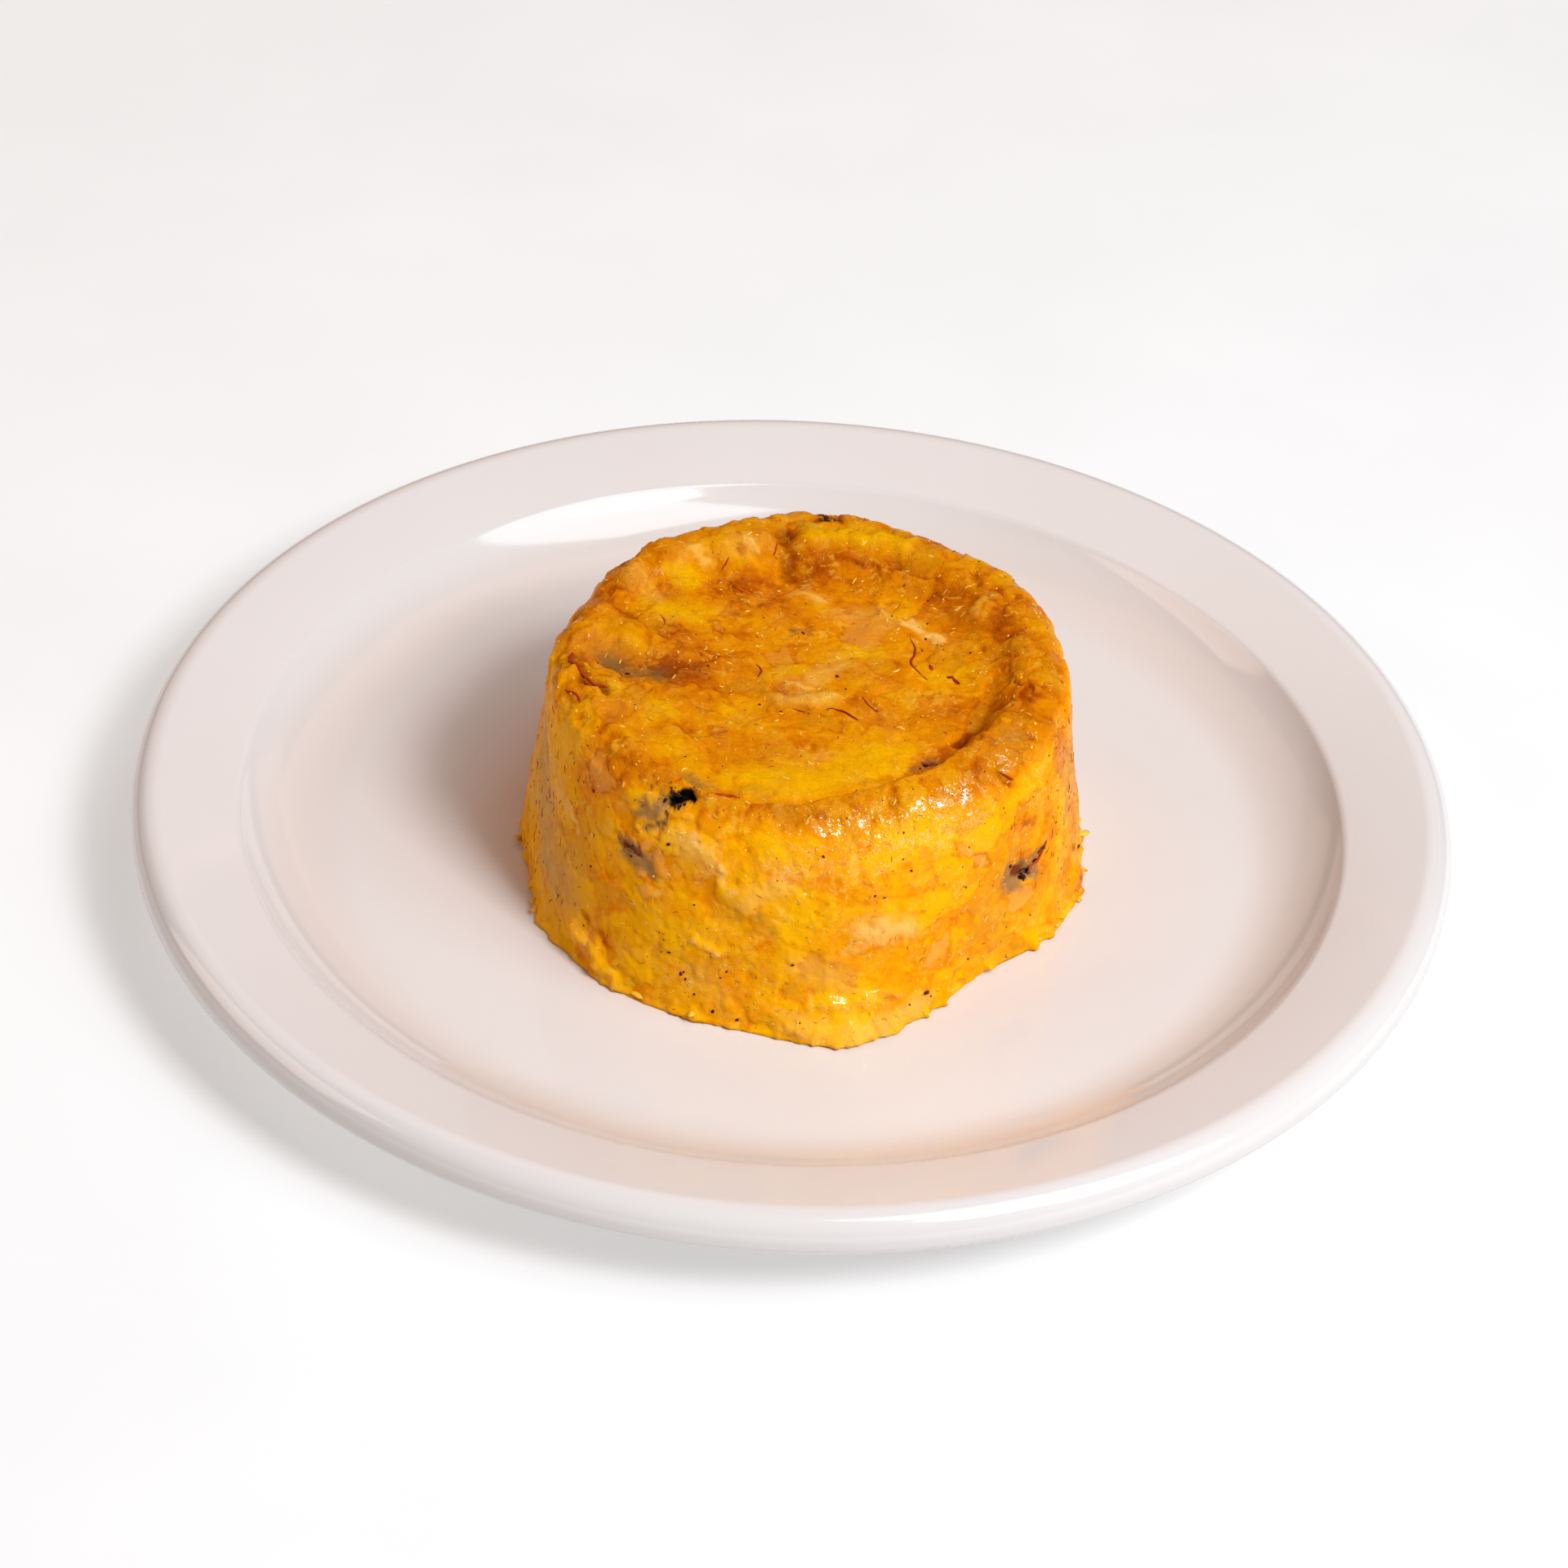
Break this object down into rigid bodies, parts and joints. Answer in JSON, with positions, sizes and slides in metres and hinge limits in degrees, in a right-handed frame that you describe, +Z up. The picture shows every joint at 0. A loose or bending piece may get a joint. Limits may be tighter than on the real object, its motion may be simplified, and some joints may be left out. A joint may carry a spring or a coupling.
{
  "type": "plate of trifongo",
  "caption": "Moulded drum of mashed plantain turned out in the well of a round glazed dinner plate with a narrow sloping rim.",
  "frame": {"origin": "middle of the plate's foot ring, at the height of the table", "axes": "+Z up, -Y towards the side the picture was taken from, +X to the right in the picture"},
  "size_m": [0.24, 0.24, 0.0538],
  "materials": {
    "plate_glaze": "glossy warm white glaze",
    "plantain_mash": "moist golden yellow mash with brown and orange mottling"
  },
  "bodies": {
    "root": {"plate": "plate_glaze", "trifongo": "plantain_mash"}
  },
  "joints": []
}
